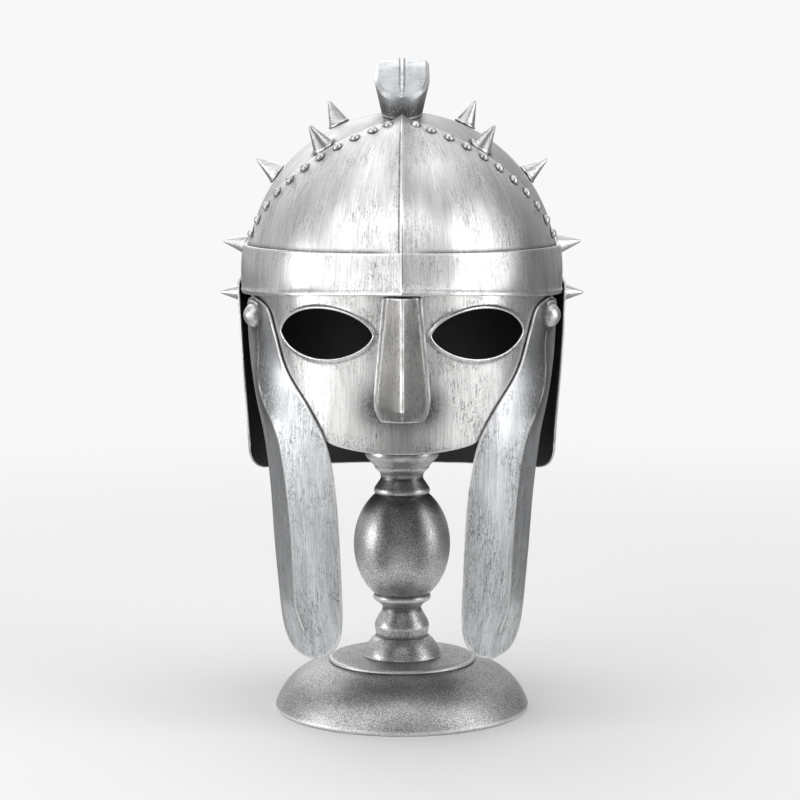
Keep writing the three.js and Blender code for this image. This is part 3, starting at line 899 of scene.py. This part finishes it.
def half_mask_outline():
    """Half the mask's outline in degrees and mm: chin, corner, cheek, temple tab, top, middle."""
    top, bottom = MASK.top, MASK.bottom
    chin, corner = (25, bottom + 4), (32, bottom + 15)
    tab_low, tab_high = (MASK.tab, MASK.tab_bottom), (MASK.tab, top)
    return np.concatenate([
        bend([(0, bottom), (14, bottom), chin], 26),
        bend([chin, (31, bottom + 6), corner], 12),
        bend([corner, (36, 238), (60, 248), tab_low], 44),
        bend([tab_low, tab_high], 16),
        bend([tab_high, (0, top)], 60),
        bend([(0, top), (0, bottom)], 56),
    ])


def eye_edge(angle):
    """The eye's edge: an ellipse whose height follows the sine to a power just over 1."""
    sine = np.sin(angle)
    azimuth = EYE.azimuth + EYE.half_angle * np.cos(angle)
    height = EYE.half_height * np.sign(sine) * np.abs(sine) ** EYE.point
    return np.stack([azimuth, EYE.z + height], axis=-1)


# %% Face mask
MM_PER_DEGREE = 2.0
RING_CROWDING = 1.7  # over 1 crowds the ring's cells towards the eye


def half_mask(side):
    """The outer and inner face of one half: a ring of cells from the eye's edge to the outline."""
    far = half_mask_outline()
    far = np.concatenate([far, far[:1]])[::side]  # both halves' cells wind the same way
    towards = np.arctan2((far[:, 1] - EYE.z) / EYE.half_height,
                         (far[:, 0] - EYE.azimuth) / EYE.half_angle)
    near = eye_edge(towards)
    t = np.linspace(0, 1, 34) ** RING_CROWDING
    spot = near[:, None] + (far - near)[:, None] * t[None, :, None]
    away = spot - near[:, None]
    width = np.hypot(away[..., 0] * MM_PER_DEGREE, away[..., 1])
    lip = EYE.lip * np.exp(-((width / EYE.lip_width) ** 2))
    azimuth, height = side * spot[..., 0], spot[..., 1] - EQUATOR
    return on_head(azimuth, height, lip), on_head(azimuth, height, lip - SHEET)


NOSE = Sizes(top=304.0, tip=231.0, bottom=222.0, flange=3.0, fold_radius=0.6,
             top_half=9.0, widening=8.0)
under_nose = line_on(on_head, (-8, NOSE.tip - EQUATOR), (8, NOSE.tip - EQUATOR), 20)
mask = sheet(
    "face_mask_sheet", [half_mask(1), half_mask(-1)],
    # Painted shade darkens the mask's lower middle under the nose; round the bosses it is soiling.
    dirt_and_shade=strongest_dirt_and_shade(dirt_and_shade_along(under_nose, reach=17.0), dirt_and_shade_round(boss_seats, BOSS_WASHER, 5.0)),
)
dress(mask, "antique_silver", ["face_mask"], mask_silver, black_paint)

# %% [markdown]
# ## The nose guard
#
# A strip folded along its middle, widening towards the tip of the nose, with a narrow flange each
# side. A fold in thin sheet is never perfectly sharp, so the ridge is a hyperbola: the square root
# of x squared plus a small number squared.

# %% Nose guard
NOSE_RIDGE = [3, 24, 10]  # how far the ridge stands off at the lower edge, the tip and the top
FLANGE_BEND = 22  # how sharply the flanges turn off the bar


def nose_half_width(z):
    """Half the width, growing towards the foot, whose corners are drawn in."""
    down = (NOSE.top - z) / (NOSE.top - NOSE.bottom)
    corner = np.maximum(0, (down - 0.8) / 0.2) ** 2
    return (NOSE.top_half + NOSE.widening * down) * np.sqrt(1 - 0.6 * corner)


def nose_face(across, z, depth):
    """The bar from flange to flange; across runs from -1 to 1."""
    half = nose_half_width(z)
    x = across * (half + NOSE.flange)
    share = (np.hypot(x, NOSE.fold_radius) - NOSE.fold_radius) / half
    ridge = np.interp(z, [NOSE.bottom, NOSE.tip, NOSE.top], NOSE_RIDGE)
    rise = ridge * np.logaddexp(0, (1 - share) * FLANGE_BEND) / FLANGE_BEND
    azimuth = np.degrees(np.arcsin(x / HALF_WIDTH))
    return on_head(azimuth, z - EQUATOR, FIRST_LAYER - depth + rise)


nose_heights = np.unique(np.r_[np.linspace(NOSE.bottom, NOSE.tip, 12),
                               np.linspace(NOSE.tip, NOSE.top, 48)])
nose = sheet(
    "nose_guard_sheet", [plate_grid(nose_face, middle_heavy(1.0, 61), nose_heights)],
    folds=line_on(nose_face, (0, NOSE.bottom), (0, NOSE.top), 80),
)
dress(nose, "aged_steel", ["nose_guard"], nose_steel, black_paint)

# %% [markdown]
# ## The cheek guards
#
# Each cheek guard hangs from the temple past the chin. Its two edges are smooth curves through a
# few points, and every cross-section is folded once in the middle, so a keel runs down it and fades
# out at both ends. Painted shade darkens the hollow under the temple and round the boss, and thin
# painted shade lines run on both sides of the keel, whose fold gets a painted highlight.

# %% Curve through points
CHEEK_FRONT = [(67, 299), (57, 293), (52.5, 276), (47, 252), (36, 226),
               (29, 202), (26, 165), (25.5, 115), (26.5, 75), (33, 58), (44, 53)]
CHEEK_REAR = [(67, 299), (76, 293), (77, 274), (76, 252), (71, 228),
              (65, 205), (62.5, 168), (62.5, 118), (61.5, 76), (55, 58.5), (44, 53)]
CHEEK = Sizes(keel=9.0, keel_top=272.0, keel_full=(94.0, 228.0), keel_foot=60.0)
KEEL_SEEN = (0.2, 0.81)  # how far down the fold's painted highlight and shade lines start and stop
BESIDE_FOLD = 0.032  # the painted shade lines' distance from the fold, as a share of the width


def through_points(points, t):
    """The Catmull-Rom curve through points at t from 0 to 1: between two points it is the cubic
    whose slope at each is half the step between its neighbours."""
    points = np.array(points, float)
    place = np.clip(t, 0, 1) * (len(points) - 1)
    k = np.minimum(place.astype(int), len(points) - 2)
    w = (place - k)[..., None]
    before, start, end, after = (points[np.clip(k + d, 0, len(points) - 1)] for d in (-1, 0, 1, 2))
    slope_in, slope_out = (end - before) / 2, (after - start) / 2
    return ((2 * start - 2 * end + slope_in + slope_out) * w**3
            + (-3 * start + 3 * end - 2 * slope_in - slope_out) * w**2 + slope_in * w + start)


# %% Cheek guards
def cheek_face(side):
    """One cheek guard: across runs from the front edge (0) to the rear edge (1), down from the
    temple (0) to the tip (1)."""
    def face(across, down, depth):
        spot = (through_points(CHEEK_FRONT, down) * (1 - across[..., None])
                + through_points(CHEEK_REAR, down) * across[..., None])
        low, high = CHEEK.keel_full
        fade = 1 - smooth(spot[..., 1], high, CHEEK.keel_top)
        fade = fade * smooth(spot[..., 1], CHEEK.keel_foot, low)
        keel = CHEEK.keel * (1 - np.abs(2 * across - 1)) * fade
        return on_head(side * spot[..., 0], spot[..., 1] - EQUATOR, FIRST_LAYER - depth + keel)
    return face


for word, side in (("left", 1), ("right", -1)):  # the wearer's left is +X
    face = cheek_face(side)
    fold, *painted_shade_lines = (line_on(face, (0.5 + off, KEEL_SEEN[0]), (0.5 + off, KEEL_SEEN[1]), 200)
                      for off in (0, -BESIDE_FOLD, BESIDE_FOLD))
    hollow = line_on(face, (0.5, 0.06), (0.5, 0.4), 60)
    cheek = sheet(
        f"cheek_guard_{word}_sheet", [plate_grid(face, spread(61, 0.5), spread(150, 0.3))],
        folds=fold,
        # Painted shade: thin lines beside the fold, the hollow under the temple, and round the
        # boss.
        dirt_and_shade=strongest_dirt_and_shade(dirt_and_shade_along(*painted_shade_lines, reach=0.9), dirt_and_shade_along(hollow, reach=27.0, share=0.8),
                   dirt_and_shade_round(boss_seats, BOSS_WASHER, 12.0)),
    )
    dress(cheek, "antique_silver", [f"cheek_guard_{word}"], cheek_silver, silver)

# %% [markdown]
# ## The neck guard
#
# A skirt runs round the back from temple to temple. It steps out below the skull's rim, hangs
# straight at the sides and kicks out at the back. Its lower corners are round.

# %% Neck guard
NECK = Sizes(start=84.0, top=8.0, side_bottom=171.0, back_bottom=156.0, corner=20.0,
             end_corner=9.0, step=4.8, step_height=10.0, kick=26.0, kick_height=150.0,
             kick_power=1.6, row_power=1.3)  # row_power over 1 crowds the rows towards the top


def quarter_circle(radius, distance):
    """How far a quarter circle has risen at a distance from its end: radius minus a root."""
    return radius - np.sqrt(radius**2 - np.clip(radius - distance, 0, radius) ** 2)


def neck_bottom(azimuth):
    """The lower edge: lowest at the back. It rises in a quarter circle as seen from the front, and
    in a smaller one at each end of the sheet."""
    turn = np.radians(azimuth)
    back = np.maximum(0, -np.cos(turn))
    reach = HALF_WIDTH + FIRST_LAYER + NECK.step
    from_side = np.where(back > 0, reach * (1 - np.abs(np.sin(turn))), 0)
    from_end = np.radians(np.minimum(azimuth, 360 - azimuth) - NECK.start) * HALF_LENGTH
    lowest = NECK.side_bottom + (NECK.back_bottom - NECK.side_bottom) * back
    lowest = lowest + quarter_circle(NECK.corner, from_side)
    return lowest + quarter_circle(NECK.end_corner, from_end)


def neck_face(azimuth, share, depth):
    """The skirt from its upper edge (share 0) to its lower one (share 1)."""
    fall = neck_bottom(azimuth) - EQUATOR - NECK.top
    height = NECK.top + fall * share ** NECK.row_power
    below = np.maximum(0, -height)
    kick = NECK.kick * np.minimum(1, below / NECK.kick_height) ** NECK.kick_power
    kick = kick * np.maximum(0, -np.cos(np.radians(azimuth)))
    lift = FIRST_LAYER + NECK.step * smooth(below, -1, NECK.step_height) + kick
    return on_head(azimuth, height, lift - depth)


neck_azimuths = NECK.start + (360 - 2 * NECK.start) * spread(241, 0.6)
neck = sheet(
    "neck_guard_sheet", [plate_grid(neck_face, neck_azimuths, spread(84, 0.35))],
    dirt_and_shade=dirt_at_studs,
)
dress(neck, "aged_steel", ["neck_guard"], skull_steel, black_paint)

# %% [markdown]
# ## The comb
#
# The comb is a folded box over the crown: two sides that lean outwards, and a flat top with a seam
# down its middle. It is round in front and narrows towards the nape. Its section is a path of
# straight lines, carried along an arch.

# %% Comb
COMB = Sizes(front=71.0, back=156.0, height=40.0, half_width=19.0, base_share=0.74,
             top_share=0.86, chamfer=3.0, seam=1.2, foot_lift=0.8, length=180.0,
             round_front=0.1, round_back=0.05, nape_share=0.42, taper_from=0.4)
COMB_RISE = (0.045, 0.94)  # the stretch of a sine's half wave that the top follows
SIDE_END, CHAMFER_END = 0.55, 0.65  # shares of the way from a foot to the seam
SHOULDER_FOLD, BESIDE_SEAM = 0.4, 0.035  # places across the comb
FOLD_SEEN = (0.03, 0.97)  # how far along the shoulders' folds get the rubbed edge and its painted highlight


def comb_half_width(u, depth):
    """Half the width: full in front, less than half at the nape, round at the front end."""
    front, tail = (np.sqrt(np.maximum(0, 1 - np.maximum(0, 1 - from_end / length) ** 2)) for
                   from_end, length in ((u, COMB.round_front), (1 - u, COMB.round_back)))
    taper = 1 - (1 - COMB.nape_share) * smooth(u, COMB.taper_from, 1)
    return np.maximum(0, (COMB.half_width * taper - depth) * front * tail)


def comb_face(u, across, depth):
    """The comb's wall: u runs from front to back, across from one foot (-1) over the top to the
    other (1). A section joins the foot, the shoulder, the chamfer and the seam."""
    inset = depth / COMB.length
    turn = COMB.back - COMB.front
    along = np.radians(COMB.front + turn * (inset + (1 - 2 * inset) * u))
    half = comb_half_width(u, depth)
    start, end = COMB_RISE
    height = COMB.height * np.sqrt(np.sin(np.pi * (start + (end - start) * u))) - depth
    stop = 1 - np.abs(across)
    foot_x, top_x = half * COMB.base_share, half * COMB.top_share
    up_side, up_chamfer, up_top = (np.clip((stop - a) / (b - a), 0, 1) for a, b in
                                   ((0, SIDE_END), (SIDE_END, CHAMFER_END), (CHAMFER_END, 1)))
    x = foot_x + (half - foot_x) * up_side + (top_x - half) * up_chamfer - top_x * up_top
    seam = COMB.seam * up_top**1.5
    up = (height - COMB.chamfer) * up_side + COMB.chamfer * up_chamfer + seam
    lift = COMB.foot_lift
    y = -(HALF_LENGTH + lift) * np.cos(along)
    z = EQUATOR + (RISE + lift) * np.sin(along)
    out_y, out_z = -np.cos(along) / HALF_LENGTH, np.sin(along) / RISE
    size = np.hypot(out_y, out_z)
    return np.stack([np.sign(across) * x, y + up * out_y / size, z + up * out_z / size], axis=-1)


quarter = np.linspace(0, np.pi / 2, 24)
front_rows = COMB.round_front * (1 - np.cos(quarter))
tail_rows = 1 - COMB.round_back * (1 - np.sin(np.linspace(0, np.pi / 2, 10)))
comb_u = np.unique(np.r_[front_rows, np.linspace(front_rows[-1], tail_rows[0], 90), tail_rows])
comb_across = np.r_[np.linspace(-1, -0.45, 20), np.linspace(-0.45, -0.35, 5)[1:],
                    np.linspace(-0.35, 0, 12)[1:]]
comb_across = np.r_[comb_across, -comb_across[-2::-1]]


def along_comb(across, start=0.0, end=1.0, count=200):
    """A line along the comb, at one place across it."""
    return line_on(comb_face, (start, across), (end, across), count)


shoulder_folds = [along_comb(a, *FOLD_SEEN) for a in (-SHOULDER_FOLD, SHOULDER_FOLD)]
beside_seam = [along_comb(a, 0.005, 1, 300) for a in (-BESIDE_SEAM, BESIDE_SEAM)]
comb = sheet(
    "comb_box", [plate_grid(comb_face, comb_u, comb_across)], flow=lambda points: points,
    folds=np.concatenate([*shoulder_folds, along_comb(0)]),
    # Painted shade: the walls darken towards their feet, and thin lines run beside the seam.
    dirt_and_shade=strongest_dirt_and_shade(dirt_and_shade_along(along_comb(-1), along_comb(1), reach=17.0),
               dirt_and_shade_along(*beside_seam, reach=0.8)),
)
dress(comb, "antique_silver", ["comb"], comb_silver, black_paint)

# %% [markdown]
# ## Rivets, bosses and studs
#
# These are turned pieces too. Each stands where its plain part stands in the frame and points the
# same way, so no table of places is needed.

# %% Their outlines
RIVET = Sizes(radius=3.1, height=2.8)
BOSS = Sizes(radius=8.5, washer=10.5)
STUD = Sizes(flange=7.8, radius=6.9, height=18.5, tip=1.2)
rivet_outline = np.concatenate([
    [(0, 0), (RIVET.radius, 0)],
    arc((0, 0.5), (RIVET.radius, RIVET.height - 0.5), 0, 90, 12),
])
boss_outline = rounded(np.concatenate([
    [(0, 0), (BOSS.washer, 0), (BOSS.washer, 1.5), (BOSS.radius + 0.4, 1.9)],
    arc((0, 2.5), (BOSS.radius, BOSS.radius), 0, 90, 16),
]), 0.5)
stud_outline = rounded(np.concatenate([
    [(0, 0), (STUD.flange, 0), (STUD.flange, 1.2), (STUD.radius, 1.9)],
    arc((0, STUD.height - STUD.tip), (STUD.tip, STUD.tip), 20, 90, 6),
]), 0.5)

# %% Rivets, bosses and studs
KINDS = (  # seats, name ending, outline, step, ridge reach, full ridge, facets
    (rivet_seats, "head", rivet_outline, 0.4, 0.8, 0.5, 24),
    (boss_seats, "dome", boss_outline, 0.5, 1.0, 0.25, 48),
    (stud_seats, "cone", stud_outline, 0.6, 1.2, 0.3, 36),
)
for seats, ending, *settings in KINDS:
    for node, (base, axis) in seats.items():
        piece = turned(f"{node}_{ending}", *settings, base, axis)
        dress(piece, "antique_silver", [node], silver)
    print(len(seats), "of the kind", ending)

# %% [markdown]
# ## The stand
#
# The stand is three turned pieces: a domed foot with a raised disc, a baluster with an egg, rings
# and a collar, and a plain post and cap hidden in the helmet. Polish has softened every corner.

# %% Stand foot
FOOT_RADIUS, _, FOOT_HEIGHT = box_mm("stand_foot")[1]
DISC_RADIUS, SHOULDER = 52.3, 34.0
LATHE = {"step": 0.8, "reach_mm": 2.4, "strong_mm": 0.35}
foot_outline = rounded(np.concatenate([
    [(0, 0), (FOOT_RADIUS - 1.5, 0), (FOOT_RADIUS, 1.6)],
    bend([(FOOT_RADIUS - 0.6, 4), (81.6, 28.5), (DISC_RADIUS + 0.4, SHOULDER)], 30),
    [(DISC_RADIUS + 0.4, SHOULDER), (DISC_RADIUS - 1.2, SHOULDER + 0.1),
     (DISC_RADIUS, SHOULDER + 1), (DISC_RADIUS - 0.4, FOOT_HEIGHT - 0.7),
     (DISC_RADIUS - 4, FOOT_HEIGHT), (0, FOOT_HEIGHT)],
]), 0.8)


def disc_shade(z):
    """Painted shade, even over the disc's flat top."""
    return 0.4 * (z > FOOT_HEIGHT - 0.9)


foot = turned("stand_foot_turned", foot_outline, **LATHE, facets=160, shade=disc_shade)
dress(foot, "stand_metal", ["stand_foot"], foot_pewter)

# %% Stand baluster
BALUSTER_FOOT, COLLAR_TOP = (corner[2] for corner in box_mm("stand_baluster"))
COLLAR = 26.3
EGG = Sizes(middle=118.5, radius=34.4, half_height=43.5)
baluster_outline = rounded(np.concatenate([
    [(0, BALUSTER_FOOT), (28.5, BALUSTER_FOOT)],
    arc((10, 30), (19, 25), 20, 64, 14),
    [(19, 56), (19.6, 59.5), (18.7, 62.7), (16.4, 67), (14.2, 70.5), (13.6, 73), (16, 75.8),
     (20.4, 78.6), (20.6, 81.6)],
    arc((0, EGG.middle), (EGG.radius, EGG.half_height), -56, 57, 40),
    [(19.9, 156), (19.9, 158.6), (18.6, 160.4), (14.9, 166), (15.6, 170), (19.4, 173.4),
     (19.8, 175), (COLLAR - 1.4, 180.4), (COLLAR, 182.6), (COLLAR, COLLAR_TOP), (0, COLLAR_TOP)],
]), 1.2)


def egg_shade(z):
    """Painted shade on the egg's shoulders, more on the upper one."""
    over = (z - EGG.middle) / EGG.half_height
    shade = np.where(over > 0, 0.5 * smooth(over, 0.3, 0.85), 0.4 * smooth(-over, 0.5, 0.85))
    return shade * (np.abs(over) < 0.86)


baluster = turned("stand_baluster_turned", baluster_outline, **LATHE, facets=144, shade=egg_shade)
dress(baluster, "stand_metal", ["stand_baluster"], pewter)

# %% Head rest
(_, _, REST_FOOT), (REST_CAP, _, _) = box_mm("stand_head_rest")
REST_POST, CAP_UNDER = 11.0, 396.0
CAP_CLEARANCE = 0.6 + SHEET
cap_radii = np.linspace(REST_CAP, 0, 24)
cap_rise = np.sqrt(1 - (cap_radii / (HALF_WIDTH - CAP_CLEARANCE)) ** 2)
rest_outline = rounded(np.concatenate([
    [(0, REST_FOOT), (REST_POST, REST_FOOT), (REST_POST, CAP_UNDER),
     (REST_CAP - 4, CAP_UNDER + 4), (REST_CAP, CAP_UNDER + 8)],
    np.stack([cap_radii, EQUATOR + (RISE - CAP_CLEARANCE) * cap_rise], axis=-1),
]), 1.0)
head_rest = turned("stand_head_rest_turned", rest_outline, 2.0, 4.0, 0.5, 64)
dress(head_rest, "stand_metal", ["stand_head_rest"], black_paint)
print(f"stand {COLLAR_TOP:.0f} mm to the collar;", len(dressed), "pieces in all")
